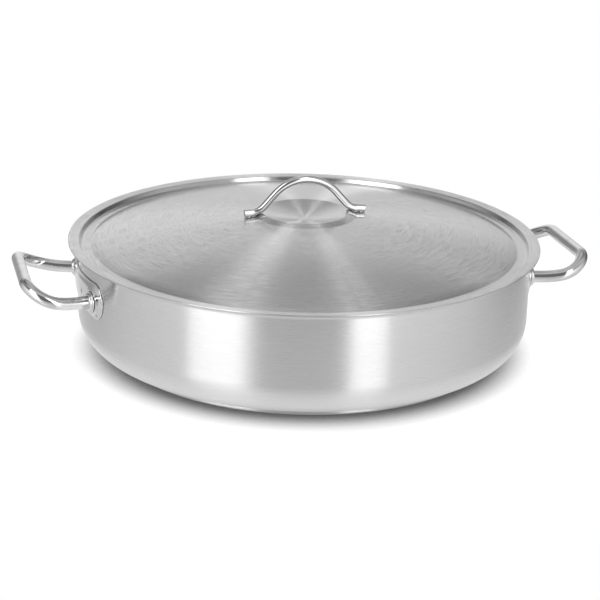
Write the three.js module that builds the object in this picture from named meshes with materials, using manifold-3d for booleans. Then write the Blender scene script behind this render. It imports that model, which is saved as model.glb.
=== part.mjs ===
// A shallow two-handled casserole of stainless steel with a lift-off lid.
// Millimetres, +Z up. The origin is on the pot's axis, on the surface it stands on.
// The side handles and the lid handle lie along X.

import * as THREE from 'three';
import { mergeVertices } from 'three/addons/utils/BufferGeometryUtils.js';
import Module from 'manifold-3d';

const wasm = await Module();
wasm.setup();

// Fits
const SEAM_GAP = 0.3; // between two pieces that meet

// Sandwich base
const BASE_RADIUS = 214;
const BASE_HEIGHT = 6;
const CAP_SHEET = 0.8;
const CAP_EDGE_RADIUS = 2;

// Pot shell
const WALL_RADIUS = 250; // outside of the wall
const WALL_SHEET = 1.2;
const SHELL_HEIGHT = 117; // outside of the bottom to the top of the rim
const CORNER_RADIUS = 39; // outside, between bottom and wall
const RIM_FLARE_RADIUS = 5; // outside, where the wall turns into the pouring rim
const RIM_REACH = 6.5; // how far the pouring rim stands out from the wall
const RIM_SLOPE = THREE.MathUtils.degToRad(15);

// Lid shell
const LID_SHEET = 1;
const FLANGE_OVERHANG = 3.5; // how far the flange stands out past the pouring rim
const FLANGE_WIDTH = 12;
const FLANGE_FALL = 0.8; // the flange falls this much towards the lid's axis
const STEP_INSET = 2.4; // the step's foot lies this much nearer the axis than its top
const GROOVE_DEPTH = 4.9; // below the inner edge of the flange
const GROOVE_WIDTH = 10.1;
const DOME_RISE = 31.4; // groove floor to the foot of the centre disc
const DISC_RADIUS = 48;
const DISC_FLANK = 9; // width of the slope round the disc
const DISC_RISE = 3.2; // height of that slope
const DISH_DEPTH = 8.4; // hollow of the disc at its centre
const DISH_POWER = 1.5; // the dish rises with this power of the way out from its centre
const GROOVE_ROUND = 5;
const STEP_ROUND = 1.5;
const DISC_ROUND = 3;

// Lid handle
const ROD_DIAMETER = 8;
const ROD_LENGTH = 137; // from end to end
const ROD_ARCH = 34; // rise of the rod's middle above its feet
const ROD_FLANK = THREE.MathUtils.degToRad(48); // steepest slope of the arch
const ROD_CROWN_RADIUS = 46; // middle of the rod, at the top
const ROD_FOOT_RADIUS = 18; // middle of the rod, above the feet
const FOOT_WELD_LENGTH = 9;
const FOOT_WELD_WIDTH = 5;
const FOOT_WELD_HEIGHT = 0.4;

// Side handles
const TUBE_DIAMETER = 13.5;
const TUBE_WALL = 1.2;
const HANDLE_HEIGHT = 83; // middle of the tube where it leaves the plate
const HANDLE_REACH = 312; // pot axis to the middle of the outer bar
const HANDLE_RISE = 18.4; // the outer bar above the legs' roots
const LEG_ANGLE = THREE.MathUtils.degToRad(13.6); // round the pot, from the handle's middle
const HANDLE_BEND_RADIUS = 27; // middle of the tube

// Handle plates
const LOBE_RADIUS = 20;
const WAIST_HEIGHT = 34;
const LOBE_OUTSET = 5; // a lobe's middle past the tube's, away from the plate's middle
const PLATE_LIFT = 2.2; // the plate's middle above the tube's
const PLATE_EDGE = 1; // thickness at the outline
const PLATE_CROWN = 2; // more than that at the middle of a lobe
const COLLAR_BASE_RADIUS = 11.5;
const COLLAR_BASE_HEIGHT = 1.2;
const COLLAR_RADIUS = 9.3;
const COLLAR_HEIGHT = 3.6;
const COLLAR_ROUND = 0.7;

// Spot welds
const WELD_DIAMETER = 4;
const WELD_DIMPLE = 0.4; // how deep the weld's face lies in the plate
const WAIST_WELD_PLACE = 27; // along the plate from its middle
const LOBE_WELD_ALONG = 6; // from the lobe's middle, away from the plate's middle
const LOBE_WELD_BELOW = 13.5; // from the lobe's middle, down

// Facets
const TURN_STEPS = 48;
const COLLAR_STEPS = 20;
const TUBE_SIDES = 12;
const BORE_SIDES = 8;
const TUBE_STEPS = 28;
const ROD_STEPS = 32;
const WELD_SIDES = 10;
const DOME_STEPS = 6;
const DISH_STEPS = 5;

const CUT_MARGIN = 5; // how far a hole's tool reaches past what it cuts

const brushedSteel = new THREE.MeshStandardMaterial({ color: 0xc4c4c4, roughness: 0.38, metalness: 1 });
const polishedSteel = new THREE.MeshStandardMaterial({ color: 0xd2d2d2, roughness: 0.12, metalness: 1 });
const weldSteel = new THREE.MeshStandardMaterial({ color: 0xa9a7a4, roughness: 0.45, metalness: 1 });
const aluminium = new THREE.MeshStandardMaterial({ color: 0xb9bcc0, roughness: 0.5, metalness: 1 });

// Heights and radii that follow from the sizes above
const shellTop = BASE_HEIGHT + SHELL_HEIGHT;
const flangeRadius = WALL_RADIUS + RIM_REACH + FLANGE_OVERHANG;
const flangeSlope = FLANGE_FALL / FLANGE_WIDTH;
const flangeTop = shellTop + SEAM_GAP + LID_SHEET + FLANGE_OVERHANG * flangeSlope;
const stepTopRadius = flangeRadius - FLANGE_WIDTH;
const stepFootRadius = stepTopRadius - STEP_INSET;
const domeFootRadius = stepFootRadius - GROOVE_WIDTH;
const grooveFloor = flangeTop - FLANGE_FALL - GROOVE_DEPTH;
const discFootRadius = DISC_RADIUS + DISC_FLANK;
const domeTop = grooveFloor + DOME_RISE;
const plateSeat = WALL_RADIUS + SEAM_GAP;
const lobePlace = plateSeat * LEG_ANGLE + LOBE_OUTSET; // along the plate from its middle
const plateHeight = HANDLE_HEIGHT + PLATE_LIFT;
const collarSeat = plateSeat + PLATE_EDGE + PLATE_CROWN + SEAM_GAP;

// Closed, merged geometry with its faces outwards
function solid(geometry) {
  const bare = geometry.clone();
  bare.deleteAttribute('normal');
  bare.deleteAttribute('uv');
  const merged = mergeVertices(bare);
  const index = Array.from(merged.index.array);
  const faces = [];
  for (let i = 0; i < index.length; i += 3) {
    const [a, b, c] = index.slice(i, i + 3);
    if (a !== b && b !== c && c !== a) faces.push(a, b, c);
  }
  merged.setIndex(faces);
  if (volume(merged) < 0) merged.setIndex(faces.reverse());
  merged.computeVertexNormals();
  return merged;
}

function volume(geometry) {
  const place = geometry.attributes.position;
  const [a, b, c] = [new THREE.Vector3(), new THREE.Vector3(), new THREE.Vector3()];
  const index = geometry.index.array;
  let sum = 0;
  for (let i = 0; i < index.length; i += 3) {
    a.fromBufferAttribute(place, index[i]);
    b.fromBufferAttribute(place, index[i + 1]);
    c.fromBufferAttribute(place, index[i + 2]);
    sum += a.dot(b.cross(c)) / 6;
  }
  return sum;
}

function toManifold(geometry) {
  const closed = solid(geometry);
  const vertProperties = Float32Array.from(closed.attributes.position.array);
  const triVerts = Uint32Array.from(closed.index.array);
  return new wasm.Manifold(new wasm.Mesh({ numProp: 3, vertProperties, triVerts }));
}

function fromManifold(manifold) {
  const mesh = manifold.getMesh();
  const geometry = new THREE.BufferGeometry();
  geometry.setAttribute('position', new THREE.BufferAttribute(Float32Array.from(mesh.vertProperties), 3));
  geometry.setIndex(Array.from(mesh.triVerts));
  return solid(geometry);
}

// A polyline whose corners [x, y, radius, steps] are rounded by arcs
function rounded(corners) {
  const path = [];
  corners.forEach(([x, y, radius = 0, steps = 3], i) => {
    const corner = new THREE.Vector2(x, y);
    if (radius === 0) {
      path.push(corner);
      return;
    }
    const before = new THREE.Vector2(...corners[i - 1]).sub(corner).normalize();
    const after = new THREE.Vector2(...corners[i + 1]).sub(corner).normalize();
    const half = Math.acos(THREE.MathUtils.clamp(before.dot(after), -1, 1)) / 2;
    const middle = before.clone().add(after).setLength(radius / Math.sin(half));
    const centre = corner.clone().add(middle);
    const start = before.multiplyScalar(radius / Math.tan(half)).sub(middle);
    const end = after.multiplyScalar(radius / Math.tan(half)).sub(middle);
    const turn = Math.atan2(start.cross(end), start.dot(end));
    for (let k = 0; k <= steps; k++) {
      path.push(start.clone().rotateAround(new THREE.Vector2(), (turn * k) / steps).add(centre));
    }
  });
  return path;
}

// The same polyline moved sideways, to its left where the distance is positive
function offset(path, distance) {
  return path.map((point, i) => {
    const before = point.clone().sub(path[Math.max(i - 1, 0)]).normalize();
    const after = path[Math.min(i + 1, path.length - 1)].clone().sub(point).normalize();
    const along = before.clone().add(after).normalize();
    if (point.x === 0) along.set(1, 0); // a sheet crosses the axis square to it
    const left = new THREE.Vector2(-along.y, along.x);
    const single = i === 0 || i === path.length - 1;
    const stretch = single ? 1 : 1 / Math.sqrt((1 + before.dot(after)) / 2);
    return point.clone().addScaledVector(left, distance * stretch);
  });
}

// A turned piece about Z from a profile of [radius, height]
function turned(profile, steps) {
  const points = profile.map((point) => (point.isVector2 ? point : new THREE.Vector2(...point)));
  return solid(new THREE.LatheGeometry(points, steps).rotateX(Math.PI / 2));
}

// Sheet metal turned about Z: a path from the axis outwards, and its other face
function turnedSheet(path, thickness) {
  const other = offset(path, thickness).reverse();
  return turned([...path, ...other], TURN_STEPS);
}

function ringShape(outerRadius, innerRadius) {
  const circle = (radius, sides) => Array.from({ length: sides }, (_, k) => {
    const angle = ((k + 0.5) / sides) * 2 * Math.PI;
    return new THREE.Vector2(radius * Math.cos(angle), radius * Math.sin(angle));
  });
  const shape = new THREE.Shape(circle(outerRadius, TUBE_SIDES));
  if (innerRadius > 0) shape.holes.push(new THREE.Path(circle(innerRadius, BORE_SIDES)));
  return shape;
}

// Points at even spacing along a polyline of Vector2
function evenly(path, count) {
  const curve = new THREE.CurvePath();
  for (let i = 1; i < path.length; i++) curve.add(new THREE.LineCurve(path[i - 1], path[i]));
  return curve.getSpacedPoints(count);
}

function swept(points, shape, steps) {
  const extrudePath = new THREE.CatmullRomCurve3(points, false, 'centripetal');
  return solid(new THREE.ExtrudeGeometry(shape, { extrudePath, steps, bevelEnabled: false }));
}

function mesh(name, geometry, material) {
  const piece = new THREE.Mesh(geometry, material);
  piece.name = name;
  return piece;
}

// Pot shell: outside face from the middle of the bottom to the edge of the rim
function potShell() {
  const rimEdge = shellTop - WALL_SHEET * Math.cos(RIM_SLOPE);
  const path = rounded([
    [0, BASE_HEIGHT],
    [WALL_RADIUS, BASE_HEIGHT, CORNER_RADIUS, 6],
    [WALL_RADIUS, rimEdge - RIM_REACH * Math.tan(RIM_SLOPE), RIM_FLARE_RADIUS],
    [WALL_RADIUS + RIM_REACH, rimEdge],
  ]);
  return turnedSheet(path, WALL_SHEET);
}

// Base cap: a flat pan whose side reaches up to the shell's bottom
function baseCap() {
  const path = rounded([
    [0, 0],
    [BASE_RADIUS, 0, CAP_EDGE_RADIUS],
    [BASE_RADIUS, BASE_HEIGHT - SEAM_GAP],
  ]);
  return turnedSheet(path, CAP_SHEET);
}

// Base core: the disc that fills the cap
function baseCore() {
  const radius = BASE_RADIUS - CAP_SHEET - SEAM_GAP;
  const floor = CAP_SHEET + SEAM_GAP;
  const bevel = Math.max(CAP_EDGE_RADIUS - CAP_SHEET, 0);
  return turned([
    [0, floor],
    [radius - bevel, floor],
    [radius, floor + bevel],
    [radius, BASE_HEIGHT - SEAM_GAP],
    [0, BASE_HEIGHT - SEAM_GAP],
  ], TURN_STEPS);
}

// Height of the lid's dome: a cap of a sphere between the groove and the disc
const domeRadius = (domeFootRadius ** 2 - discFootRadius ** 2 + DOME_RISE ** 2) / (2 * DOME_RISE);
function domeHeight(radius) {
  return domeTop - (radius ** 2 - discFootRadius ** 2) / (2 * domeRadius);
}

// Lid shell: upper face from the middle of the dish to the edge of the flange
function lidShell() {
  const discTop = domeTop + DISC_RISE;
  const corners = [];
  for (let k = 0; k < DISH_STEPS; k++) {
    const share = k / DISH_STEPS;
    corners.push([DISC_RADIUS * share, discTop - DISH_DEPTH * (1 - share ** DISH_POWER)]);
  }
  corners.push([DISC_RADIUS, discTop, DISC_ROUND, 2]);
  corners.push([discFootRadius, domeTop, DISC_ROUND, 2]);
  for (let k = 1; k < DOME_STEPS; k++) {
    const radius = THREE.MathUtils.lerp(discFootRadius, domeFootRadius, k / DOME_STEPS);
    corners.push([radius, domeHeight(radius)]);
  }
  corners.push([domeFootRadius, grooveFloor, GROOVE_ROUND, 3]);
  corners.push([stepFootRadius, grooveFloor, STEP_ROUND, 2]);
  corners.push([stepTopRadius, flangeTop - FLANGE_FALL, STEP_ROUND, 2]);
  corners.push([flangeRadius, flangeTop]);
  return turnedSheet(rounded(corners), -LID_SHEET);
}

// Lid handle: feet that lie along the dome, steep flanks and a round crown
const rodHalf = ROD_LENGTH / 2;
const footPlace = rodHalf - FOOT_WELD_LENGTH / 2; // middle of a foot's weld
const footTilt = Math.atan(footPlace / domeRadius);
const footSeat = domeHeight(footPlace) + 2 * SEAM_GAP + FOOT_WELD_HEIGHT; // underside of the rod
function lidHandle() {
  const apex = ROD_ARCH + ROD_CROWN_RADIUS * (1 / Math.cos(ROD_FLANK) - 1);
  const heel = apex / Math.tan(ROD_FLANK);
  const toe = -(rodHalf - heel) * Math.tan(footTilt);
  const plan = rounded([
    [-rodHalf, toe],
    [-heel, 0, ROD_FOOT_RADIUS, 5],
    [0, apex, ROD_CROWN_RADIUS, 12],
    [heel, 0, ROD_FOOT_RADIUS, 5],
    [rodHalf, toe],
  ]);
  const footHeight = -(footPlace - heel) * Math.tan(footTilt);
  const lift = footSeat + ROD_DIAMETER / 2 / Math.cos(footTilt) - footHeight;
  const points = evenly(plan, 2 * ROD_STEPS).map((p) => new THREE.Vector3(p.x, 0, p.y + lift));
  return swept(points, ringShape(ROD_DIAMETER / 2, 0), ROD_STEPS);
}

// Foot weld: an oval seat on the dome under one end of the rod
function footWeld() {
  const oval = new THREE.Shape(Array.from({ length: WELD_SIDES }, (_, k) => {
    const angle = (k / WELD_SIDES) * 2 * Math.PI;
    return new THREE.Vector2(
      (FOOT_WELD_LENGTH / 2) * Math.cos(angle),
      (FOOT_WELD_WIDTH / 2) * Math.sin(angle),
    );
  }));
  return solid(new THREE.ExtrudeGeometry(oval, { depth: FOOT_WELD_HEIGHT, bevelEnabled: false }));
}

// Side handle: two legs square to the wall and an outer bar that lies higher
function handleTube() {
  const rootX = collarSeat * Math.cos(LEG_ANGLE);
  const rootY = collarSeat * Math.sin(LEG_ANGLE);
  const barY = HANDLE_REACH * Math.tan(LEG_ANGLE);
  const plan = rounded([
    [rootX, -rootY],
    [HANDLE_REACH, -barY, HANDLE_BEND_RADIUS, 8],
    [HANDLE_REACH, barY, HANDLE_BEND_RADIUS, 8],
    [rootX, rootY],
  ]);
  const points = evenly(plan, 2 * TUBE_STEPS).map((p) => {
    const share = (p.x - rootX) / (HANDLE_REACH - rootX);
    return new THREE.Vector3(p.x, p.y, HANDLE_HEIGHT + HANDLE_RISE * share ** 3);
  });
  const section = ringShape(TUBE_DIAMETER / 2, TUBE_DIAMETER / 2 - TUBE_WALL);
  return swept(points, section, TUBE_STEPS);
}

// Half the plate's height at a place along it: round lobes and a drawn-in waist
const lobeJoinAngle = THREE.MathUtils.degToRad(105);
function plateHalfHeight(along) {
  const join = lobePlace + LOBE_RADIUS * Math.cos(lobeJoinAngle);
  const place = Math.abs(along);
  if (place >= join) return Math.sqrt(Math.max(LOBE_RADIUS ** 2 - (place - lobePlace) ** 2, 0));
  const joinHeight = LOBE_RADIUS * Math.sin(lobeJoinAngle);
  const swell = Math.sin(((Math.PI / 2) * place) / join) ** 2;
  return THREE.MathUtils.lerp(WAIST_HEIGHT / 2, joinHeight, swell);
}

// The plate is thin at its outline and crowned along its middle
function plateThickness(along, up) {
  const half = plateHalfHeight(along);
  const crown = (1 - (up / half) ** 2) * (half / LOBE_RADIUS);
  return PLATE_EDGE + PLATE_CROWN * crown;
}

function onWall(along, up, depth) {
  const angle = along / plateSeat;
  const radius = plateSeat + depth;
  return [radius * Math.cos(angle), radius * Math.sin(angle), plateHeight + up];
}

// Handle plate: closed rings of front and back points from one tip to the other
function plateBlank() {
  const lobe = [8, 25, 45, 65, 85, 105].map((degrees) => THREE.MathUtils.degToRad(degrees));
  const outer = lobe.map((angle) => lobePlace + LOBE_RADIUS * Math.cos(angle));
  const join = outer[outer.length - 1];
  const waist = [0.75, 0.5, 0.25].map((share) => share * join);
  const half = [...outer, ...waist];
  const stations = [...half, 0, ...half.map((along) => -along).reverse()];
  const across = [-1, -0.8, -0.4, 0, 0.4, 0.8, 1];
  const position = [];
  for (const along of stations) {
    const height = plateHalfHeight(along);
    for (const share of across) {
      position.push(...onWall(along, share * height, plateThickness(along, share * height)));
    }
    for (const share of across) position.push(...onWall(along, share * height, 0));
  }
  const wide = across.length;
  const at = (station, back, k) => station * 2 * wide + (back ? wide : 0) + k;
  const faces = [];
  const quad = (a, b, c, d) => faces.push(a, b, c, a, c, d);
  const last = stations.length - 1;
  for (let i = 0; i < last; i++) {
    for (let k = 0; k + 1 < wide; k++) {
      quad(at(i, false, k), at(i + 1, false, k), at(i + 1, false, k + 1), at(i, false, k + 1));
      quad(at(i, true, k), at(i, true, k + 1), at(i + 1, true, k + 1), at(i + 1, true, k));
    }
    quad(at(i, true, 0), at(i + 1, true, 0), at(i + 1, false, 0), at(i, false, 0));
    quad(at(i, false, wide - 1), at(i + 1, false, wide - 1), at(i + 1, true, wide - 1), at(i, true, wide - 1));
  }
  for (let k = 0; k + 1 < wide; k++) {
    quad(at(0, true, k), at(0, false, k), at(0, false, k + 1), at(0, true, k + 1));
    quad(at(last, false, k), at(last, true, k), at(last, true, k + 1), at(last, false, k + 1));
  }
  const geometry = new THREE.BufferGeometry();
  geometry.setAttribute('position', new THREE.Float32BufferAttribute(position, 3));
  geometry.setIndex(faces);
  return geometry;
}

// A round peg square to the wall, between two depths from the plate's seat
function wallPeg(along, up, from, to, diameter) {
  const peg = new THREE.CylinderGeometry(diameter / 2, diameter / 2, to - from, WELD_SIDES);
  peg.rotateZ(Math.PI / 2);
  peg.translate(plateSeat + (from + to) / 2, 0, plateHeight + up);
  peg.rotateZ(along / plateSeat);
  return peg;
}

const weldPlaces = [-1, 1].flatMap((end) => [
  { name: 'waist', end, along: end * WAIST_WELD_PLACE, up: 0 },
  { name: 'lobe', end, along: end * (lobePlace + LOBE_WELD_ALONG), up: -LOBE_WELD_BELOW },
]);

function handlePlate() {
  let plate = toManifold(plateBlank());
  for (const { along, up } of weldPlaces) {
    const through = plateThickness(along, up) + CUT_MARGIN;
    const hole = wallPeg(along, up, -CUT_MARGIN, through, WELD_DIAMETER + 2 * SEAM_GAP);
    plate = plate.subtract(toManifold(hole));
  }
  return fromManifold(plate);
}

function spotWeld({ along, up }) {
  const face = plateThickness(along, up) - WELD_DIMPLE;
  return solid(wallPeg(along, up, 0, face, WELD_DIAMETER));
}

// Collar: a stepped ring that the tube's end passes through
function collar() {
  const bore = TUBE_DIAMETER / 2 + SEAM_GAP;
  return turned([
    [bore, 0],
    [COLLAR_BASE_RADIUS, 0],
    [COLLAR_BASE_RADIUS, COLLAR_BASE_HEIGHT],
    [COLLAR_RADIUS, COLLAR_BASE_HEIGHT],
    [COLLAR_RADIUS, COLLAR_HEIGHT - COLLAR_ROUND],
    [COLLAR_RADIUS - COLLAR_ROUND, COLLAR_HEIGHT],
    [bore, COLLAR_HEIGHT],
    [bore, 0],
  ], COLLAR_STEPS);
}

function sideHandle(side, turn) {
  const group = new THREE.Group();
  group.rotation.z = turn;
  group.add(mesh(`${side}_handle_plate`, handlePlate(), polishedSteel));
  group.add(mesh(`${side}_handle_tube`, handleTube(), polishedSteel));
  for (const end of [-1, 1]) {
    const place = end * Math.cos(turn) < 0 ? 'front' : 'rear';
    const ring = mesh(`${side}_${place}_collar`, collar(), polishedSteel);
    ring.rotation.y = Math.PI / 2;
    ring.position.set(collarSeat, 0, HANDLE_HEIGHT);
    const leg = new THREE.Group();
    leg.rotation.z = end * LEG_ANGLE;
    leg.add(ring);
    group.add(leg);
  }
  for (const spot of weldPlaces) {
    const place = spot.end * Math.cos(turn) < 0 ? 'front' : 'rear';
    group.add(mesh(`${side}_${place}_${spot.name}_weld`, spotWeld(spot), weldSteel));
  }
  return group;
}

function pot() {
  const group = new THREE.Group();
  group.add(mesh('pot_shell', potShell(), brushedSteel));
  group.add(mesh('base_core', baseCore(), aluminium));
  group.add(mesh('base_cap', baseCap(), brushedSteel));
  group.add(sideHandle('right', 0));
  group.add(sideHandle('left', Math.PI));
  return group;
}

function lid() {
  const group = new THREE.Group();
  group.add(mesh('lid_shell', lidShell(), brushedSteel));
  group.add(mesh('lid_handle', lidHandle(), polishedSteel));
  for (const [side, end] of [['left', -1], ['right', 1]]) {
    const weld = mesh(`lid_handle_${side}_weld`, footWeld(), weldSteel);
    weld.rotation.y = end * footTilt;
    weld.position.set(end * footPlace, 0, domeHeight(footPlace) + SEAM_GAP);
    group.add(weld);
  }
  return group;
}

const casserole = new THREE.Group();
casserole.add(pot(), lid());

export default casserole;
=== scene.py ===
"""Looks of a shallow two-handled cooking pot with a lift-off lid.

Metres, +Z up, the origin on the pot's axis on the surface it stands on, side handles along X.
"""
import math

import bpy
import numpy as np
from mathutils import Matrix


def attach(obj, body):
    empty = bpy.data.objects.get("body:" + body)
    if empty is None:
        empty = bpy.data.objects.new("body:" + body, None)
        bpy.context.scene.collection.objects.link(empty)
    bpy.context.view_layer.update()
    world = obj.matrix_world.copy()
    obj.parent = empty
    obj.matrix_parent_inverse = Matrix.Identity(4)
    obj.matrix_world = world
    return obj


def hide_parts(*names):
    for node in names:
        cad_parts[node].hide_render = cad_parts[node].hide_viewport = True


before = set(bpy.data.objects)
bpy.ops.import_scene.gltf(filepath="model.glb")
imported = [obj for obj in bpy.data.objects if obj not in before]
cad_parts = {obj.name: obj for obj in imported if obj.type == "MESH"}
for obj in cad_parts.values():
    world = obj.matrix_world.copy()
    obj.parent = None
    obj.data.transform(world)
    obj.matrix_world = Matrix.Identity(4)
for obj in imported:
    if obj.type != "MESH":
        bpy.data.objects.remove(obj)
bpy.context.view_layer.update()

MM = 0.001

# Sizes of the pot, in millimetres, as the solids have them
SEAM_GAP = 0.3
BASE_RADIUS = 214.0
BASE_HEIGHT = 6.0
CAP_SHEET = 0.8
CAP_EDGE_RADIUS = 2.0
WALL_RADIUS = 250.0
WALL_SHEET = 1.2
SHELL_TOP = 123.0
CORNER_RADIUS = 39.0
RIM_FLARE_RADIUS = 5.0
RIM_REACH = 6.5
RIM_SLOPE = math.radians(15)

LID_SHEET = 1.0
FLANGE_OVERHANG = 3.5
FLANGE_WIDTH = 12.0
FLANGE_FALL = 0.8
STEP_INSET = 2.4
GROOVE_DEPTH = 4.9
GROOVE_WIDTH = 10.1
DOME_RISE = 31.4
DISC_RADIUS = 48.0
DISC_FLANK = 9.0
DISC_RISE = 3.2
DISH_DEPTH = 8.4
DISH_POWER = 1.5
GROOVE_ROUND = 5.0
STEP_ROUND = 1.5
DISC_ROUND = 3.0

ROD_DIAMETER = 8.0
ROD_LENGTH = 137.0
ROD_ARCH = 34.0
ROD_FLANK = math.radians(48)
ROD_CROWN_RADIUS = 46.0
ROD_FOOT_RADIUS = 18.0
FOOT_WELD_LENGTH = 9.0
FOOT_WELD_WIDTH = 5.0
FOOT_WELD_HEIGHT = 0.4
ROD_SETTLE = 0.6

TUBE_DIAMETER = 13.5
TUBE_WALL = 1.2
HANDLE_HEIGHT = 83.0
HANDLE_REACH = 312.0
HANDLE_RISE = 18.4
LEG_ANGLE = math.radians(13.6)
HANDLE_BEND_RADIUS = 27.0

LOBE_RADIUS = 20.0
LOBE_OUTSET = 5.0
PLATE_LIFT = 2.2
WAIST_HEIGHT = 34.0
PLATE_EDGE = 1.0
PLATE_CROWN = 2.0
COLLAR_BASE_RADIUS = 11.5
COLLAR_BASE_HEIGHT = 1.2
COLLAR_RADIUS = 9.3
COLLAR_HEIGHT = 3.6

WELD_DIAMETER = 4.0
WELD_DIMPLE = 0.45
WAIST_WELD_PLACE = 27.0
LOBE_WELD_ALONG = 6.0
LOBE_WELD_BELOW = 13.5

# Relief that only these finer surfaces have
CORNER_LEAD = 2
PLATE_JOIN_ANGLE = math.radians(105)
PLATE_RIM = 0.15
PLATE_ROUND = 1.2
CROWN_SHARE = 0.9
CROWN_RUN = 7.0
BOSS_RADIUS = 12.6
BOSS_FOOT_RADIUS = 15.2
DIMPLE_FLOOR = 0.6 * WELD_DIAMETER
DIMPLE_EDGE = 0.85 * WELD_DIAMETER
COLLAR_SLACK = 0.05
ROD_BEVEL = 0.5
BEVEL_SIZES = (0, 0.86, 0.95, 1)
FOOT_WELD_RAISE = 0.05

# Weld sections from the middle outwards and back below: share of the radius, height in millimetres
WELD_BUTTON = np.array([
    (0, 0.02), (0.45, 0.05), (0.8, 0.12), (0.95, 0.08), (1, -0.05), (1, -0.5), (0, -0.5),
])
FOOT_FILLET = np.array([
    (0, 1.4), (0.7, 1.4), (0.72, 0.7), (0.8, 0.3), (0.9, 0.0), (0.9, -0.3), (0, -0.3),
])

# Heights and radii that follow from those sizes
FLANGE_RADIUS = WALL_RADIUS + RIM_REACH + FLANGE_OVERHANG
FLANGE_TOP = SHELL_TOP + SEAM_GAP + LID_SHEET + FLANGE_OVERHANG * FLANGE_FALL / FLANGE_WIDTH
STEP_TOP_RADIUS = FLANGE_RADIUS - FLANGE_WIDTH
STEP_FOOT_RADIUS = STEP_TOP_RADIUS - STEP_INSET
DOME_FOOT_RADIUS = STEP_FOOT_RADIUS - GROOVE_WIDTH
GROOVE_FLOOR = FLANGE_TOP - FLANGE_FALL - GROOVE_DEPTH
DISC_FOOT_RADIUS = DISC_RADIUS + DISC_FLANK
DOME_TOP = GROOVE_FLOOR + DOME_RISE
DOME_RADIUS = (DOME_FOOT_RADIUS ** 2 - DISC_FOOT_RADIUS ** 2 + DOME_RISE ** 2) / (2 * DOME_RISE)
PLATE_SEAT = WALL_RADIUS + SEAM_GAP
PLATE_HEIGHT = HANDLE_HEIGHT + PLATE_LIFT
LOBE_PLACE = PLATE_SEAT * LEG_ANGLE + LOBE_OUTSET
TUBE_PLACE = PLATE_SEAT * LEG_ANGLE
COLLAR_SEAT = PLATE_SEAT + PLATE_EDGE + PLATE_CROWN + SEAM_GAP

# Fineness
TURN_STEPS = 288
TUBE_SIDES = 40
COLLAR_STEPS = 72
WELD_STEPS = 28
FOOT_WELD_STEPS = 40
PATH_STEPS = 241
TUBE_BEND_STEPS = 40
ROD_FOOT_STEPS = 30
ROD_CROWN_STEPS = 60
FLOOR_RINGS = 12
RING_POWER = 0.8
CAP_RINGS = 10
DISH_RINGS = 25
DOME_RINGS = 34
PLATE_RINGS = 241
PLATE_COLUMNS = 65
TIP_BEND = math.pi / 2 * 0.35
TIP_START = 0.9
STAGE_SIDES = 96
SHARP_ANGLE = 50
PLATE_SHARP_ANGLE = 70
MITRE_LIMIT = 0.2
MERGE_DIGITS = 7
POLE_STEP = 1e-6


def rounded(corners):
    """A polyline whose corners (x, y, radius, steps) are arcs that touch both neighbouring sides."""
    path = []
    places = np.array([corner[:2] for corner in corners], float)
    for i, corner in enumerate(corners):
        if len(corner) < 3:
            path.append(places[i:i + 1])
            continue
        radius, steps = corner[2:]
        before = places[i - 1] - places[i]
        after = places[i + 1] - places[i]
        before /= np.linalg.norm(before)
        after /= np.linalg.norm(after)
        half = math.acos(float(np.clip(before @ after, -1, 1))) / 2
        middle = before + after
        middle *= radius / math.sin(half) / np.linalg.norm(middle)
        start = before * radius / math.tan(half) - middle
        end = after * radius / math.tan(half) - middle
        turn = math.atan2(start[0] * end[1] - start[1] * end[0], start @ end)
        angle = turn * np.linspace(0, 1, steps + 1)
        arc = np.stack([
            start[0] * np.cos(angle) - start[1] * np.sin(angle),
            start[0] * np.sin(angle) + start[1] * np.cos(angle),
        ], -1)
        path.append(arc + places[i] + middle)
    return np.concatenate(path)


def run_along(path):
    """Length of a polyline from its start to each of its points."""
    return np.concatenate([[0], np.cumsum(np.linalg.norm(np.diff(path, axis=0), axis=1))])


def points_at(path, run, at):
    """Points of a polyline at given lengths along it: each axis is interpolated."""
    return np.stack([np.interp(at, run, path[:, k]) for k in range(path.shape[1])], -1)


def evenly(path, count):
    """Points at even spacing along a polyline: its length is shared out evenly."""
    run = run_along(path)
    return points_at(path, run, np.linspace(0, run[-1], count))


def unit(vectors):
    return vectors / np.linalg.norm(vectors, axis=-1, keepdims=True)


def sheet_profile(path, thickness, edge_steps=6):
    """A sheet's section from its middle to its edge.

    The path, a half-round edge at its end, and the path moved sideways by the thickness, further at
    corners so that the sheet stays as thick there.
    """
    along = unit(np.gradient(path, axis=0))
    along[0] = (1, 0)
    before = unit(np.diff(path, axis=0, prepend=path[:1] - along[:1]))
    after = unit(np.diff(path, axis=0, append=path[-1:] + along[-1:]))
    corner = unit(before + after)
    side = np.stack([-corner[:, 1], corner[:, 0]], -1)
    side[0] = (0, 1)
    stretch = 1 / np.sqrt(np.clip((1 + np.sum(before * after, 1)) / 2, MITRE_LIMIT, 1))
    stretch[0] = 1
    other = path + side * (thickness * stretch)[:, None]
    angle = np.linspace(-0.5, 0.5, edge_steps + 1)[1:-1, None] * math.pi
    middle = (path[-1] + other[-1]) / 2
    radius = abs(thickness) / 2
    edge = middle + radius * (np.cos(angle) * corner[-1] + np.sin(angle) * side[-1] * np.sign(thickness))
    edge -= radius * corner[-1]
    trim = path.copy()
    trim[-1] -= radius * corner[-1]
    other[-1] -= radius * corner[-1]
    return np.concatenate([trim, edge, other[::-1]])


def turned(profile, steps=TURN_STEPS):
    """Surface of revolution about Z: (r cos a, r sin a, z) for each profile point (r, z) and angle a."""
    angle = np.arange(steps) / steps * 2 * math.pi
    r, z = profile[:, :1], profile[:, 1:]
    return np.stack([r * np.cos(angle), r * np.sin(angle), z + 0 * angle], -1)


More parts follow.
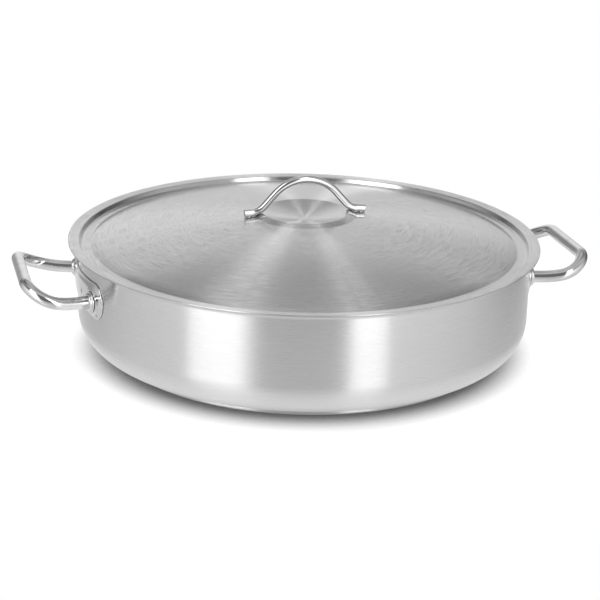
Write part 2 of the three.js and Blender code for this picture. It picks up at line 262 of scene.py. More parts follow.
def swept(path, reference, section):
    """Section offsets (across, up) carried on a path.

    Up is the reference made square to the path's tangent, and across is square to both.
    """
    tangent = unit(np.gradient(path, axis=0))
    up = unit(reference - np.sum(reference * tangent, 1, keepdims=True) * tangent)
    across = np.cross(tangent, up)
    return (path[:, None]
            + section[..., :1] * across[:, None]
            + section[..., 1:] * up[:, None])


def circle(radius, sides=TUBE_SIDES):
    """Points evenly round a circle: radius times (cos a, sin a)."""
    angle = np.arange(sides) / sides * 2 * math.pi
    return radius * np.stack([np.cos(angle), np.sin(angle)], -1)


def skin(name, points, close_rows, body, slot, material, *nodes, sharp=SHARP_ANGLE):
    """A piece from a grid of points, closed along its columns, and along its rows if asked.

    Equal points become one, so poles and folded edges close, and faces are turned outwards.
    """
    rows, columns = points.shape[:2]
    flat = points.reshape(-1, 3) * MM
    merged = np.unique(np.round(flat, MERGE_DIGITS), axis=0, return_index=True, return_inverse=True)
    first, same = merged[1:]
    row = np.arange(rows if close_rows else rows - 1)[:, None]
    column = np.arange(columns)[None]
    corner = [
        (row * columns + column),
        (row * columns + (column + 1) % columns),
        ((row + 1) % rows * columns + (column + 1) % columns),
        ((row + 1) % rows * columns + column),
    ]
    quads = same.reshape(-1)[np.stack(corner, -1).reshape(-1, 4)]
    halves = np.concatenate([quads[:, [0, 1, 2]], quads[:, [0, 2, 3]]])
    whole = np.all(halves != np.roll(halves, -1, axis=1), axis=1)
    full = whole[:len(quads)] & whole[len(quads):]
    lone = halves[whole & ~np.concatenate([full, full])]
    vertices = flat[first]
    triangles = halves[whole]
    a, b, c = (vertices[triangles[:, k]] for k in range(3))
    if np.sum(a * np.cross(b, c)) < 0:
        quads, lone = quads[:, ::-1], lone[:, ::-1]
    mesh = bpy.data.meshes.new(name)
    mesh.from_pydata(vertices.tolist(), [], quads[full].tolist() + lone.tolist())
    mesh.polygons.foreach_set("use_smooth", np.ones(len(mesh.polygons), bool))
    mesh.set_sharp_from_angle(angle=math.radians(sharp))
    mesh.materials.append(material)
    piece = bpy.data.objects.new(name, mesh)
    bpy.context.scene.collection.objects.link(piece)
    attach(piece, body)
    if nodes:
        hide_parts(*nodes)
    return piece


# Shader helpers


class Tree:
    """Short calls that add nodes to a shader tree and link them."""

    def __init__(self, tree):
        self.tree = tree

    def add(self, kind, **settings):
        node = self.tree.nodes.new(kind)
        for key, value in settings.items():
            setattr(node, key, value)
        return node

    def feed(self, socket, value):
        if isinstance(value, bpy.types.NodeSocket):
            self.tree.links.new(value, socket)
        else:
            socket.default_value = value

    def math(self, operation, *values, clamp=False):
        node = self.add("ShaderNodeMath", operation=operation, use_clamp=clamp)
        for socket, value in zip(node.inputs, values):
            self.feed(socket, value)
        return node.outputs[0]

    def combine(self, x, y, z):
        node = self.add("ShaderNodeCombineXYZ")
        for socket, value in zip(node.inputs, (x, y, z)):
            self.feed(socket, value)
        return node.outputs[0]

    def noise(self, vector, scale, detail=3.0, roughness=0.5):
        node = self.add("ShaderNodeTexNoise")
        self.feed(node.inputs["Vector"], vector)
        self.feed(node.inputs["Scale"], scale)
        node.inputs["Detail"].default_value = detail
        node.inputs["Roughness"].default_value = roughness
        return node.outputs["Fac"]

    def span(self, value, low, high, to_low=0.0, to_high=1.0, smooth=True):
        node = self.add("ShaderNodeMapRange", interpolation_type="SMOOTHSTEP" if smooth else "LINEAR")
        for socket, number in zip(node.inputs, (value, low, high, to_low, to_high)):
            self.feed(socket, number)
        return node.outputs[0]

    def ramp(self, value, stops, top):
        """A line of straight pieces through stops (place from 0 to 1, number from 0 to the top)."""
        node = self.add("ShaderNodeValToRGB")
        marks = node.color_ramp.elements
        for stop in stops[2:]:
            marks.new(stop[0])
        for mark, (place, number) in zip(marks, stops):
            mark.position = place
            mark.color = (number / top, number / top, number / top, 1)
        self.feed(node.inputs[0], value)
        return self.math("MULTIPLY", node.outputs["Color"], top)

    def blend(self, share, first, second):
        node = self.add("ShaderNodeMix", data_type="RGBA")
        self.feed(node.inputs["Factor"], share)
        self.feed(node.inputs["A"], first)
        self.feed(node.inputs["B"], second)
        return next(s for s in node.outputs if s.type == "RGBA")

    def axes(self, kind):
        """The x, y and z of a texture coordinate of the given kind."""
        node = self.add("ShaderNodeSeparateXYZ")
        self.feed(node.inputs[0], self.add("ShaderNodeTexCoord").outputs[kind])
        return node.outputs

    def length(self, x, y):
        """Distance from the axis: the root of the sum of the squares."""
        squares = self.math("ADD", self.math("MULTIPLY", x, x), self.math("MULTIPLY", y, y))
        return self.math("SQRT", squares)

    def between(self, first, second, share):
        """The number that lies a share of the way from the first to the second."""
        return self.math("MULTIPLY_ADD", self.math("SUBTRACT", second, first), share, first)


# Satin sheet: how its layers of grain share tone and roughness
AXIS_CORE = 0.004
LINE_TONE = 0.7
BAND_TONE = 0.3
TONE_SPAN = (0.3, 0.7)
LINE_SHARE = 0.04
SCRATCH_SHARE = 0.96
GRAIN_SPREAD = 0.25
GROOVE_SOFT = 0.04
SMUDGE_HAZE = 0.004
GRAIN_HEIGHT = 0.00001
GRAIN_STRETCH = 1.0
GRAIN_TURN = 0.25

# Marks of use, and how they haze the polished pieces
SMUDGE_SPAN = (0.42, 0.72)
HAIR_SPAN = (0.45, 0.75)
POLISH_SMUDGE = 0.05
POLISH_SCRATCH = 0.03


def grey(tone):
    """A neutral colour."""
    return (tone, tone, tone, 1)


def new_group(name, inputs, outputs):
    """An empty shader node group with named float inputs (name, default) and outputs."""
    group = bpy.data.node_groups.new(name, "ShaderNodeTree")
    for title, default in inputs:
        socket = group.interface.new_socket(title, in_out="INPUT", socket_type="NodeSocketFloat")
        socket.default_value = default
    for title in outputs:
        group.interface.new_socket(title, in_out="OUTPUT", socket_type="NodeSocketFloat")
    tree = Tree(group)
    return group, tree, tree.add("NodeGroupInput").outputs, tree.add("NodeGroupOutput").inputs


def turned_grain_group():
    """Scratches of a turned sheet that run round the pot's axis.

    The grain's place is (direction from the axis, radius + height): it varies quickly across and
    slowly along. Fine scratches, broad lines and wide bands differ only in how quickly.
    """
    group, tree, given, out = new_group(
        "turned grain",
        [("Lines", 26000.0), ("Run", 8.0), ("Broad Lines", 1500.0), ("Bands", 90.0)],
        ["Scratch", "Line", "Band"],
    )
    x, y, z = tree.axes("Object")
    radius = tree.length(x, y)
    across = tree.math("ADD", radius, z)
    reach = tree.math("MAXIMUM", radius, AXIS_CORE)
    run_x = tree.math("MULTIPLY", tree.math("DIVIDE", x, reach), given["Run"])
    run_y = tree.math("MULTIPLY", tree.math("DIVIDE", y, reach), given["Run"])
    layers = [("Scratch", "Lines", 1.0), ("Line", "Broad Lines", 3.0), ("Band", "Bands", 1.0)]
    for title, count, detail in layers:
        spot = tree.combine(run_x, run_y, tree.math("MULTIPLY", across, given[count]))
        tree.feed(out[title], tree.noise(spot, 1.0, detail=detail, roughness=0.6))
    return group


def handling_group():
    """Marks of use: soft smudges, and hair scratches that lie every way."""
    group, tree, given, out = new_group(
        "handling marks",
        [("Smudge Size", 28.0), ("Scratch Size", 420.0)],
        ["Smudge", "Scratch"],
    )
    place = tree.add("ShaderNodeTexCoord").outputs["Object"]
    cloud = tree.noise(place, given["Smudge Size"], detail=5.0, roughness=0.6)
    tree.feed(out["Smudge"], tree.span(cloud, *SMUDGE_SPAN))
    hair = tree.noise(place, given["Scratch Size"], detail=6.0, roughness=0.7)
    tree.feed(out["Scratch"], tree.span(hair, *HAIR_SPAN))
    return group


TURNED_GRAIN = turned_grain_group()
HANDLING = handling_group()


def placed(tree, group, **values):
    """A shader group placed in a material, with its own values for the inputs that are named."""
    node = tree.add("ShaderNodeGroup", node_tree=group)
    for name, value in values.items():
        node.inputs[name.replace("_", " ")].default_value = value
    return node.outputs


def steel_surface(name):
    """A new metal material, its tree and the inputs of its shader."""
    material = bpy.data.materials.new(name)
    material.use_nodes = True
    tree = Tree(material.node_tree)
    surface = material.node_tree.nodes["Principled BSDF"]
    surface.inputs["Metallic"].default_value = 1.0
    return material, tree, surface.inputs


def brushed_sheet(name, dark, light, fine, coarse, share, grain_depth):
    """Sheet brushed round the axis.

    Broad lines and bands move the tone from dark to light. Scratches make a share of the sheet coarse
    and leave the rest fine. Smudges dull it a little, and it is rougher across the grain than along it.
    """
    material, tree, surface = steel_surface(name)
    grain = placed(tree, TURNED_GRAIN)
    marks = placed(tree, HANDLING)
    bands = tree.math("MULTIPLY", grain["Band"], BAND_TONE)
    tone = tree.math("MULTIPLY_ADD", grain["Line"], LINE_TONE, bands)
    shade = tree.span(tone, *TONE_SPAN, smooth=False)
    tree.feed(surface["Base Color"], tree.blend(shade, grey(dark), grey(light)))
    edge = 0.5 + GRAIN_SPREAD * (0.5 - share)
    scratch = tree.math("MULTIPLY", grain["Scratch"], SCRATCH_SHARE)
    mixed = tree.math("MULTIPLY_ADD", grain["Line"], LINE_SHARE, scratch)
    groove = tree.span(mixed, edge - GROOVE_SOFT, edge + GROOVE_SOFT, fine, coarse)
    tree.feed(surface["Roughness"], tree.math("MULTIPLY_ADD", marks["Smudge"], SMUDGE_HAZE, groove))
    bump = tree.add("ShaderNodeBump")
    bump.inputs["Strength"].default_value = grain_depth
    bump.inputs["Distance"].default_value = GRAIN_HEIGHT
    tree.feed(bump.inputs["Height"], grain["Scratch"])
    tree.feed(surface["Normal"], bump.outputs[0])
    surface["Anisotropic"].default_value = GRAIN_STRETCH
    surface["Anisotropic Rotation"].default_value = GRAIN_TURN
    return material


def polished_steel(name, dark, light, rough):
    """Buffed steel: nearly a mirror, with faint smudges and hair scratches."""
    material, tree, surface = steel_surface(name)
    marks = placed(tree, HANDLING, Smudge_Size=55.0, Scratch_Size=900.0)
    tree.feed(surface["Base Color"], tree.blend(marks["Smudge"], grey(light), grey(dark)))
    haze = tree.math("MULTIPLY_ADD", marks["Smudge"], POLISH_SMUDGE, rough)
    tree.feed(surface["Roughness"], tree.math("MULTIPLY_ADD", marks["Scratch"], POLISH_SCRATCH, haze))
    return material


def dull_metal(name, pale, dark, rough, scratched, **sizes):
    """Dull metal: smudges mottle its tone from pale to dark, and hair scratches roughen it."""
    material, tree, surface = steel_surface(name)
    marks = placed(tree, HANDLING, **sizes)
    tree.feed(surface["Base Color"], tree.blend(marks["Smudge"], pale, dark))
    tree.feed(surface["Roughness"], tree.math("MULTIPLY_ADD", marks["Scratch"], scratched, rough))
    return material


WALL_STEEL = brushed_sheet(
    "satin wall steel", dark=0.62, light=0.64, fine=0.18, coarse=0.30, share=0.5, grain_depth=0.05,
)
LID_STEEL = brushed_sheet(
    "satin lid steel", dark=0.62, light=0.64, fine=0.125, coarse=0.54, share=0.36, grain_depth=0.05,
)
BASE_STEEL = brushed_sheet(
    "base cap steel", dark=0.58, light=0.62, fine=0.22, coarse=0.40, share=0.5, grain_depth=0.1,
)
POLISHED = polished_steel("polished handle steel", dark=0.60, light=0.68, rough=0.09)
WELD = dull_metal(
    "ground weld steel", pale=(0.52, 0.51, 0.49, 1), dark=(0.34, 0.32, 0.3, 1), rough=0.35, scratched=0.2,
    Smudge_Size=260.0, Scratch_Size=1500.0,
)
ALUMINIUM = dull_metal(
    "rolled aluminium", pale=(0.72, 0.73, 0.75, 1), dark=(0.62, 0.63, 0.65, 1), rough=0.4, scratched=0.15,
    Smudge_Size=80.0, Scratch_Size=700.0,
)


# Pot


def pot_shell():
    """Turned sheet: flat bottom, round corner, straight wall and a rim that flares out and up."""
    rim_edge = SHELL_TOP - WALL_SHEET * math.cos(RIM_SLOPE)
    radii = np.linspace(0, 1, FLOOR_RINGS) ** RING_POWER * (WALL_RADIUS - CORNER_RADIUS - CORNER_LEAD)
    bottom = np.stack([radii, np.full(FLOOR_RINGS, BASE_HEIGHT)], -1)
    bend = rounded([
        bottom[-1],
        (WALL_RADIUS, BASE_HEIGHT, CORNER_RADIUS, 28),
        (WALL_RADIUS, rim_edge - RIM_REACH * math.tan(RIM_SLOPE), RIM_FLARE_RADIUS, 14),
        (WALL_RADIUS + RIM_REACH, rim_edge),
    ])
    profile = sheet_profile(np.concatenate([bottom[:-1], bend]), WALL_SHEET)
    skin("pot_shell_fine", turned(profile), False, "pot", "brushed_sheet", WALL_STEEL, "pot_shell")


def base_cap():
    """Turned pan of thin sheet: flat underside, small round corner and a short upright side."""
    path = rounded([
        (0, 0),
        (BASE_RADIUS, 0, CAP_EDGE_RADIUS, 8),
        (BASE_RADIUS, BASE_HEIGHT - SEAM_GAP),
    ])
    radii = np.linspace(0, BASE_RADIUS - CAP_EDGE_RADIUS, CAP_RINGS)[:-1]
    rings = np.stack([radii, 0 * radii], -1)
    profile = sheet_profile(np.concatenate([rings, path[1:]]), CAP_SHEET)
    skin("base_cap_fine", turned(profile), False, "pot", "brushed_sheet", BASE_STEEL, "base_cap")


# Side handles


def plate_half_height(along):
    """Half the plate's height at a place along it.

    A circle at each lobe, and between the lobes a waist that swells towards them with a sine squared.
    """
    join = LOBE_PLACE + LOBE_RADIUS * math.cos(PLATE_JOIN_ANGLE)
    place = np.abs(along)
    lobe = np.sqrt(np.clip(LOBE_RADIUS ** 2 - (place - LOBE_PLACE) ** 2, 0, None))
    swell = np.sin(math.pi / 2 * np.clip(place / join, 0, 1)) ** 2
    waist = WAIST_HEIGHT / 2 + (LOBE_RADIUS * math.sin(PLATE_JOIN_ANGLE) - WAIST_HEIGHT / 2) * swell
    return np.where(place >= join, lobe, waist)


def ease(value, low, high):
    """Smooth step from 0 at low to 1 at high: three times the share squared, less twice its cube."""
    share = np.clip((value - low) / (high - low), 0, 1)
    return share * share * (3 - 2 * share)


WELD_PLACES = [
    (place, end, end * along, up)
    for end in (-1, 1)
    for place, along, up in (
        ("waist", WAIST_WELD_PLACE, 0.0),
        ("lobe", LOBE_PLACE + LOBE_WELD_ALONG, -LOBE_WELD_BELOW),
    )
]


def plate_depth(along, up):
    """Height of the plate's face over its seat.

    A rounded edge, a low crown, a stepped boss round each tube and a dimple at each weld.
    """
    half = np.maximum(plate_half_height(along), POLE_STEP)
    inset = np.minimum(half - np.abs(up), LOBE_PLACE + LOBE_RADIUS - np.abs(along))
    edge = np.sqrt(np.clip(1 - (1 - np.clip(inset / PLATE_ROUND, 0, 1)) ** 2, 0, 1))
    crown = (1 - (up / half) ** 2) * np.clip(half / LOBE_RADIUS, 0, 1)
    depth = PLATE_RIM + (PLATE_EDGE - PLATE_RIM) * edge
    depth = depth + CROWN_SHARE * PLATE_CROWN * crown * ease(inset, 0.0, CROWN_RUN)
    reach = np.hypot(np.abs(along) - TUBE_PLACE, up + PLATE_LIFT)
    boss = PLATE_EDGE + PLATE_CROWN
    depth = depth + (boss - depth) * (1 - ease(reach, BOSS_RADIUS, BOSS_FOOT_RADIUS))
    for place, end, weld_along, weld_up in WELD_PLACES:
        spot = np.hypot(along - weld_along, up - weld_up)
        depth = depth - WELD_DIMPLE * (1 - ease(spot, DIMPLE_FLOOR, DIMPLE_EDGE))
    return depth


def on_wall(side, along, up, depth):
    """The point that lies along the wall's curve, up from the plate's middle and out from its seat."""
    angle = along / PLATE_SEAT
    radius = PLATE_SEAT + depth
    return np.stack([
        side * radius * np.cos(angle),
        side * radius * np.sin(angle),
        PLATE_HEIGHT + up + 0 * radius,
    ], -1)


def handle_plate(side, name):
    """Face and back of the plate as closed rings from one tip to the other, closer at the tips."""
    reach = LOBE_PLACE + LOBE_RADIUS
    share = np.linspace(-1, 1, PLATE_RINGS)
    along = reach * np.sin(share * TIP_BEND) / math.sin(TIP_BEND)
    tip = ease(np.abs(share), TIP_START, 1.0)
    along = along * (1 - tip) + np.sign(share) * reach * tip * (1 - (1 - np.abs(share)) ** 2)
    along[0], along[-1] = -reach, reach
    along = np.sort(along)[:, None]
    across = np.sin(np.linspace(-1, 1, PLATE_COLUMNS) * math.pi / 2)[None]
    up = across * plate_half_height(along)
    along = along + 0 * up
    face = on_wall(side, along, up, plate_depth(along, up))
    back = on_wall(side, along, up, 0 * up)
    rings = np.concatenate([face, back[:, ::-1]], 1)
    skin(f"{name}_fine", rings, False, "pot", "polished_steel", POLISHED, name, sharp=PLATE_SHARP_ANGLE)


def handle_tube(side, name):
    """Round hollow tube on a plan of two radial legs and an outer bar.

    It rises from its roots with the cube of its reach.
    """
    root = COLLAR_SEAT * np.array([math.cos(LEG_ANGLE), math.sin(LEG_ANGLE)])
    bar = HANDLE_REACH * math.tan(LEG_ANGLE)
    plan = evenly(rounded([
        (root[0], -root[1]),
        (HANDLE_REACH, -bar, HANDLE_BEND_RADIUS, TUBE_BEND_STEPS),
        (HANDLE_REACH, bar, HANDLE_BEND_RADIUS, TUBE_BEND_STEPS),
        (root[0], root[1]),
    ]), PATH_STEPS)
    share = (plan[:, 0] - root[0]) / (HANDLE_REACH - root[0])
    height = HANDLE_HEIGHT + HANDLE_RISE * share ** 3
    path = np.stack([side * plan[:, 0], side * plan[:, 1], height], -1)
    up = np.array([[0, 0, 1.0]])
    outer = swept(path, up, circle(TUBE_DIAMETER / 2))
    inner = swept(path, up, circle(TUBE_DIAMETER / 2 - TUBE_WALL))
    skin(f"{name}_fine", np.concatenate([outer, inner[::-1]]), True, "pot", "polished_steel", POLISHED, name)


def about_leg(side, end, points):
    """Points turned from Z to a leg's axis: Z becomes the way out of the wall at the leg."""
    angle = end * LEG_ANGLE
    out = np.array([math.cos(angle), math.sin(angle), 0.0])
    level = np.array([-math.sin(angle), math.cos(angle), 0.0])
    up = np.array([0, 0, 1.0])
    placed_points = points[..., :1] * level + points[..., 1:2] * up + points[..., 2:] * out
    return placed_points * np.array([side, side, 1]) + np.array([0, 0, HANDLE_HEIGHT])


def collar(side, end, name):
    """Turned ring with a wide foot, a hollow shoulder and a rounded lip round the tube."""
    bore = TUBE_DIAMETER / 2 + COLLAR_SLACK
    profile = rounded([
        (bore, 0),
        (COLLAR_BASE_RADIUS, 0),
        (COLLAR_BASE_RADIUS, COLLAR_BASE_HEIGHT, 0.6, 6),
        (COLLAR_RADIUS, COLLAR_BASE_HEIGHT, 0.5, 6),
        (COLLAR_RADIUS, COLLAR_HEIGHT, 1.4, 8),
        (bore, COLLAR_HEIGHT, 0.25, 3),
        (bore, COLLAR_HEIGHT / 2),
    ])
    ring = turned(profile + [0, COLLAR_SEAT], COLLAR_STEPS)
    skin(f"{name}_fine", about_leg(side, end, ring), True, "pot", "polished_steel", POLISHED, name)


def spot_weld(side, along, up, name):
    """A shallow dished button in the bottom of its dimple."""
    depth = float(plate_depth(np.array([along]), np.array([up]))[0])
    profile = WELD_BUTTON * [WELD_DIAMETER / 2, 1] + [0, depth]
    button = turned(profile, WELD_STEPS)
    points = on_wall(side, along + button[..., 0], up + button[..., 1], button[..., 2])
    skin(f"{name}_fine", points, False, "pot", "weld_steel", WELD, name)


def side_handle(side, name):
    """Plate, tube, collars and spot welds of one side; side is 1 on the right and -1 on the left."""
    handle_plate(side, f"{name}_handle_plate")
    handle_tube(side, f"{name}_handle_tube")
    for end in (-1, 1):
        place = "front" if end * side < 0 else "rear"
        collar(side, end, f"{name}_{place}_collar")
    for spot, end, along, up in WELD_PLACES:
        place = "front" if end * side < 0 else "rear"
        spot_weld(side, along, up, f"{name}_{place}_{spot}_weld")


# Lid


def dome_height(radius):
    """Height of the lid's dome: a shallow cap that falls with the square of the radius."""
    return DOME_TOP - (radius ** 2 - DISC_FOOT_RADIUS ** 2) / (2 * DOME_RADIUS)


def lid_shell():
    """Turned sheet: dished centre, low flank, dome, groove, step and flat flange."""
    disc_top = DOME_TOP + DISC_RISE
    share = np.linspace(0, 1, DISH_RINGS)[:-1]
    dish = [(DISC_RADIUS * s, disc_top - DISH_DEPTH * (1 - s ** DISH_POWER)) for s in share]
    radii = np.linspace(DISC_FOOT_RADIUS, DOME_FOOT_RADIUS, DOME_RINGS)[1:-1]
    dome = [(r, dome_height(r)) for r in radii]
    path = rounded(dish + [
        (DISC_RADIUS, disc_top, DISC_ROUND, 8),
        (DISC_FOOT_RADIUS, DOME_TOP, DISC_ROUND, 8),
    ] + dome + [
        (DOME_FOOT_RADIUS, GROOVE_FLOOR, GROOVE_ROUND, 8),
        (STEP_FOOT_RADIUS, GROOVE_FLOOR, STEP_ROUND, 8),
        (STEP_TOP_RADIUS, FLANGE_TOP - FLANGE_FALL, STEP_ROUND, 8),
        (FLANGE_RADIUS - FLANGE_WIDTH / 2, FLANGE_TOP - FLANGE_FALL / 2),
        (FLANGE_RADIUS, FLANGE_TOP),
    ])
    profile = sheet_profile(path, -LID_SHEET)
    skin("lid_shell_fine", turned(profile), False, "lid", "brushed_sheet", LID_STEEL, "lid_shell")


ROD_HALF = ROD_LENGTH / 2
FOOT_PLACE = ROD_HALF - FOOT_WELD_LENGTH / 2
FOOT_TILT = math.atan(FOOT_PLACE / DOME_RADIUS)
FOOT_SEAT = dome_height(FOOT_PLACE) + 2 * SEAM_GAP + FOOT_WELD_HEIGHT - ROD_SETTLE


def lid_handle():
    """Round rod on an arch: sloping feet, steep flanks, a round crown and a small bevel at each end."""
    apex = ROD_ARCH + ROD_SETTLE + ROD_CROWN_RADIUS * (1 / math.cos(ROD_FLANK) - 1)
    heel = apex / math.tan(ROD_FLANK)
    toe = -(ROD_HALF - heel) * math.tan(FOOT_TILT)
    plan = evenly(rounded([
        (-ROD_HALF, toe),
        (-heel, 0, ROD_FOOT_RADIUS, ROD_FOOT_STEPS),
        (0, apex, ROD_CROWN_RADIUS, ROD_CROWN_STEPS),
        (heel, 0, ROD_FOOT_RADIUS, ROD_FOOT_STEPS),
        (ROD_HALF, toe),
    ]), PATH_STEPS)
    foot_height = -(FOOT_PLACE - heel) * math.tan(FOOT_TILT)
    lift = FOOT_SEAT + ROD_DIAMETER / 2 / math.cos(FOOT_TILT) - foot_height
    path = np.stack([plan[:, 0], 0 * plan[:, 0], plan[:, 1] + lift], -1)
    run = run_along(path)
    head = np.array([0, 0, ROD_BEVEL / 2, ROD_BEVEL])
    stops = np.concatenate([head, run[1:-1], run[-1] - head[::-1]])
    path = points_at(path, run, stops)
    path[0, 0] -= POLE_STEP
    path[-1, 0] += POLE_STEP
    size = np.ones(len(stops))
    size[:4] = BEVEL_SIZES
    size[-4:] = BEVEL_SIZES[::-1]
    section = size[:, None, None] * circle(ROD_DIAMETER / 2)[None]
    points = swept(path, np.array([[0, 1.0, 0]]), section)
    skin("lid_handle_fine", points, False, "lid", "polished_steel", POLISHED, "lid_handle")


def foot_weld(end, name):
    """Ground weld under an end of the rod: an oval foot on the dome that narrows up into the rod."""
    angle = np.arange(FOOT_WELD_STEPS) / FOOT_WELD_STEPS * 2 * math.pi
    size, height = FOOT_FILLET.T[..., None]
    x = end * FOOT_PLACE + size * FOOT_WELD_LENGTH / 2 * np.cos(angle)
    y = size * FOOT_WELD_WIDTH / 2 * np.sin(angle)
    z = dome_height(np.hypot(x, y)) + FOOT_WELD_RAISE + height
    skin(f"{name}_fine", np.stack([x, y, z], -1), False, "lid", "weld_steel", WELD, name)


pot_shell()
base_cap()
side_handle(1, "right")
side_handle(-1, "left")
lid_shell()
lid_handle()
foot_weld(-1, "lid_handle_left_weld")
foot_weld(1, "lid_handle_right_weld")
core_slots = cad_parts["base_core"].data.materials
core_slots.clear()
core_slots.append(ALUMINIUM)


# Stage, light and camera

CAMERA_AZIMUTH = -14.5
VIEW_PLACE = (-0.4769, -1.8441, 0.7197)
VIEW_FALL = 19.395
VIEW_TURN = -14.411
VIEW_ROLL = 1.495
VIEW_END = 100.0
LENS = 108.0
SENSOR = 36.0

# Floor: metres and strengths, and how open it must be to glow, from none of the sky to all of it.
# Its glow, cut where the pot hides the sky, is a painted shadow; for metal it is brighter near the pot, a
# painted pool of light.
FLOOR_RADIUS = 0.52
FLOOR_DROP = 0.0003
PAINTED_POOL_BAND = (0.24, 0.33)
EYE_SHADE = (0.10, 0.66)
METAL_SHADE = (0.0, 0.30, 0.20, 1.0)
SHADOW_SAMPLES = 8
FLOOR_TONE = 0.15
FLOOR_GLOW = 0.97
# Glow for metal near the pot and far out: a painted pool of light
PAINTED_POOL_NEAR = 1.0
PAINTED_POOL_FAR = 0.74
FLOOR_GLOSS = 0.25
FLOOR_INDEX = 1.8
SHADOW_REACH = 0.05

# Light walls: strengths, and degrees up or round between which one part takes over from the next
CEILING_LIGHT = 0.65
BRIGHTEST = 4.0
LOW_TO_HIGH = (-4.0, 10.0)
HIGH_TO_TOP = (18.0, 34.0)
WALL_END = (66.0, 54.0)
FRONT_HALF = (130.0, 95.0)

# Light round the pot: near the floor, above it and higher up.
# Each pair is degrees to the right of the photograph's camera, and strength.
LOW_LIGHT = [
    (-180, 0.90), (-165, 0.80), (-150, 0.45), (-128, 0.38), (-109, 0.70), (-93, 0.85), (-79, 0.95),
    (-67, 1.05), (-58, 1.08), (-55.5, 1.80), (-31, 1.80), (-22, 0.78), (-17, 0.62), (17, 0.62),
    (21, 0.78), (27, 1.80), (41, 1.80), (43.5, 1.16), (61, 1.06), (74, 0.98), (87, 0.88), (102, 0.70),
    (119, 0.42), (130, 0.28), (150, 0.28), (170, 0.75), (180, 0.90),
]
HIGH_LIGHT = [
    (-180, 1.05), (-165, 1.06), (-150, 0.50), (-128, 0.12), (-109, 0.55), (-93, 0.95), (-67, 1.30),
    (-58, 1.40), (-55.5, 3.70), (-31, 3.70), (-22, 0.45), (-17, 0.18), (17, 0.18), (21, 0.45),
    (27, 3.70), (41, 3.70), (43.5, 1.50), (61, 1.28), (74, 1.05), (87, 0.75), (102, 0.45), (119, 0.12),
    (135, 0.08), (155, 0.40), (170, 0.92), (180, 1.05),
]
TOP_LIGHT = [
    (-180, 1.05), (-165, 1.06), (-150, 0.65), (-128, 0.35), (-58, 0.28), (-55.5, 3.70), (-31, 3.70),
    (-22, 0.40), (-17, 0.18), (17, 0.18), (21, 0.40), (27, 3.70), (41, 3.70), (43.5, 0.50), (90, 0.60),
    (135, 0.50), (155, 0.70), (170, 0.95), (180, 1.05),
]

# Light up the back wall: degrees up and share of the light at the floor
BACK_LIGHT = [
    (-90, 1.00), (-10, 1.00), (10, 0.97), (28, 0.97), (31.5, 0.90), (34, 0.75), (36.5, 0.56),
    (39, 0.46), (43, 0.42), (50, 0.46), (56, 0.64), (90, 0.68),
]


def direction(tree, x, y):
    """Degrees round from the photograph's camera of the way (x, y) from the pot's axis."""
    turn = tree.math("DEGREES", tree.math("ARCTAN2", x, tree.math("MULTIPLY", y, -1.0)))
    return tree.math("WRAP", tree.math("SUBTRACT", turn, CAMERA_AZIMUTH), 180.0, -180.0)


def light_round(tree, around, stops):
    """Strength of a table of light at a direction in degrees, on straight lines between its stops."""
    place = tree.math("MULTIPLY_ADD", around, 1 / 360, 0.5)
    return tree.ramp(place, [(degrees / 360 + 0.5, number) for degrees, number in stops], BRIGHTEST)


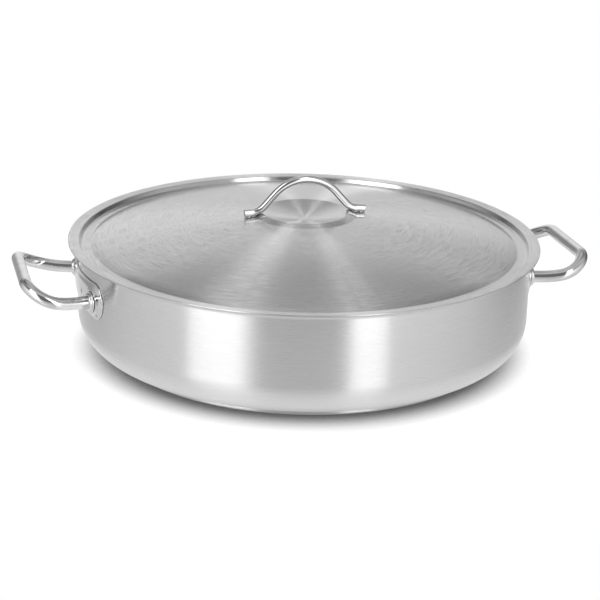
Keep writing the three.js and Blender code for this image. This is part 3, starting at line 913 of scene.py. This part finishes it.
def floor():
    """A pale disc that carries the pot's shadow: partly real shade on its dim diffuse colour, partly a
    painted shadow in its glow.

    It glows white for the eye, and nearly so for metal, less where the pot stands close over it: a painted
    shadow in the glow.
    For metal alone it also glows brighter near the pot than further out, a painted pool of light. A gloss
    coat, there for metal alone, mirrors the light walls at a low angle.
    """
    angle = np.arange(STAGE_SIDES) / STAGE_SIDES * 2 * math.pi
    mesh = bpy.data.meshes.new("floor")
    ring = FLOOR_RADIUS * np.stack([np.cos(angle), np.sin(angle), 0 * angle], -1)
    mesh.from_pydata(ring.tolist(), [], [list(range(STAGE_SIDES))])
    material = bpy.data.materials.new("white floor")
    material.use_nodes = True
    surface = material.node_tree.nodes["Principled BSDF"].inputs
    surface["Base Color"].default_value = grey(FLOOR_TONE)
    surface["Roughness"].default_value = 1.0
    surface["Specular IOR Level"].default_value = 0.0
    tree = Tree(material.node_tree)
    x, y = tree.axes("Object")[:2]
    # Painted pool of light: for metal the floor glows brighter near the pot than far from it
    metal = tree.span(tree.length(x, y), *PAINTED_POOL_BAND, PAINTED_POOL_NEAR, PAINTED_POOL_FAR)
    path = tree.add("ShaderNodeLightPath").outputs
    mirrored = tree.math("MAXIMUM", path["Is Glossy Ray"], path["Is Transmission Ray"])
    sky = tree.add("ShaderNodeAmbientOcclusion", samples=SHADOW_SAMPLES)
    sky.inputs["Distance"].default_value = SHADOW_REACH
    # Painted shadow: the glow is cut where ambient occlusion finds the pot close over the floor, for the eye
    # and for metal
    eye_painted_shadow = tree.span(sky.outputs["AO"], *EYE_SHADE, smooth=False)
    metal_painted_shadow = tree.span(sky.outputs["AO"], *METAL_SHADE, smooth=False)
    seen = tree.math("MULTIPLY", tree.math("MULTIPLY", path["Is Camera Ray"], FLOOR_GLOW), eye_painted_shadow)
    glow = tree.math("MULTIPLY_ADD", tree.math("MULTIPLY", mirrored, metal), metal_painted_shadow, seen)
    surface["Emission Color"].default_value = (1, 1, 1, 1)
    tree.feed(surface["Emission Strength"], glow)
    tree.feed(surface["Coat Weight"], mirrored)
    surface["Coat Roughness"].default_value = FLOOR_GLOSS
    surface["Coat IOR"].default_value = FLOOR_INDEX
    mesh.materials.append(material)
    ground = bpy.data.objects.new("floor", mesh)
    ground.location.z = -FLOOR_DROP
    bpy.context.scene.collection.objects.link(ground)


def studio():
    """World light by direction: tall light walls and soft boxes round the pot, and a dim ceiling.

    In front of the pot the walls reach high and end softly, and behind it they fade from the horizon up.
    """
    world = bpy.data.worlds.new("studio")
    bpy.context.scene.world = world
    world.use_nodes = True
    tree = Tree(world.node_tree)
    x, y, z = tree.axes("Generated")
    around = direction(tree, x, y)
    rise = tree.math("DEGREES", tree.math("ARCSINE", z))
    low, high, top = (light_round(tree, around, table) for table in (LOW_LIGHT, HIGH_LIGHT, TOP_LIGHT))
    walls = tree.between(low, high, tree.span(rise, *LOW_TO_HIGH))
    walls = tree.between(walls, top, tree.span(rise, *HIGH_TO_TOP))
    near = tree.between(CEILING_LIGHT, walls, tree.span(rise, *WALL_END))
    height = tree.math("MULTIPLY_ADD", rise, 1 / 180, 0.5)
    fade = tree.ramp(height, [(degrees / 180 + 0.5, share) for degrees, share in BACK_LIGHT], 1.0)
    far = tree.math("MULTIPLY", walls, fade)
    front = tree.span(tree.math("ABSOLUTE", around), *FRONT_HALF)
    light = tree.between(far, near, front)
    path = tree.add("ShaderNodeLightPath").outputs
    background = world.node_tree.nodes["Background"].inputs
    background["Color"].default_value = (1, 1, 1, 1)
    tree.feed(background["Strength"], tree.between(light, 1.0, path["Is Camera Ray"]))


def camera():
    """The photograph's viewpoint: place, fall below the level, turn to the right and roll."""
    data = bpy.data.cameras.new("camera")
    data.sensor_width = SENSOR
    data.lens = LENS
    data.clip_end = VIEW_END
    view = bpy.data.objects.new("camera", data)
    bpy.context.scene.collection.objects.link(view)
    view.location = VIEW_PLACE
    view.rotation_euler = (math.radians(90 - VIEW_FALL), 0, math.radians(VIEW_TURN))
    view.rotation_euler.rotate_axis("Z", math.radians(VIEW_ROLL))
    bpy.context.scene.camera = view


floor()
studio()
camera()
bpy.context.scene.view_settings.view_transform = "Standard"
